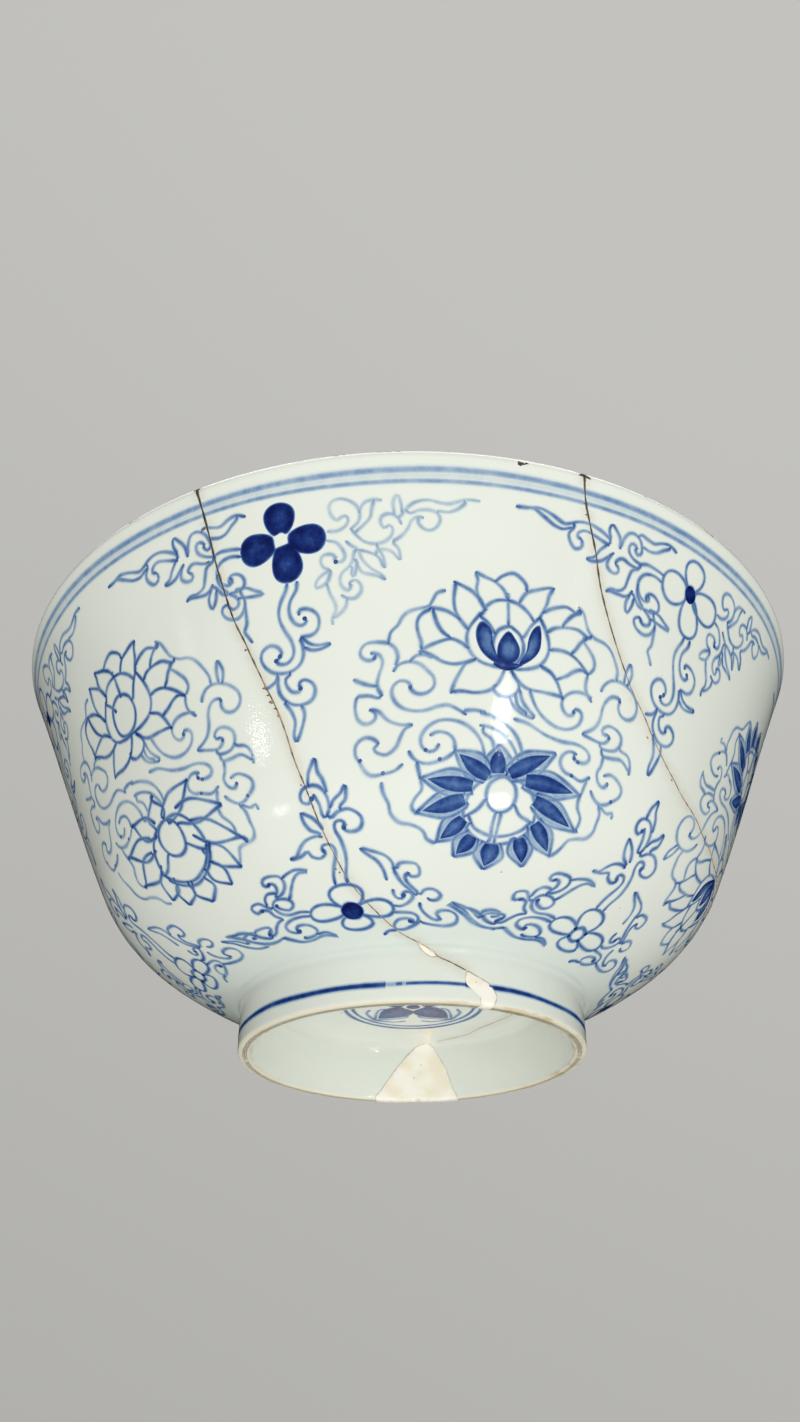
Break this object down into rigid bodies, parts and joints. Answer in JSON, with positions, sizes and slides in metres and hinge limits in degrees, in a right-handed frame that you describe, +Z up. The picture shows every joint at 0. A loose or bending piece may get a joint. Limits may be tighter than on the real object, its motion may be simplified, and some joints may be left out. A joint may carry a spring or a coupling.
{
  "type": "cracked bowl",
  "caption": "Round porcelain bowl on a foot ring, with long cracks from the rim, chipped lip and filled breaks in the foot.",
  "frame": {"origin": "centre of the foot ring's underside, on the surface that the bowl stands on", "axes": "+Z up along the bowl's turning axis; -Y is the side between the two cracks that leave the lip"},
  "size_m": [0.15, 0.15, 0.0715],
  "materials": {
    "porcelain": "glossy glaze with blue underglaze painting, worn and unglazed on the foot ring's tread",
    "filler": "matt cream filler, sanded flush"
  },
  "bodies": {
    "root": {"bowl": "porcelain", "near_foot_fill": "filler", "far_foot_fill": "filler", "flake_fill": "filler", "base_fill": "filler"}
  },
  "joints": []
}
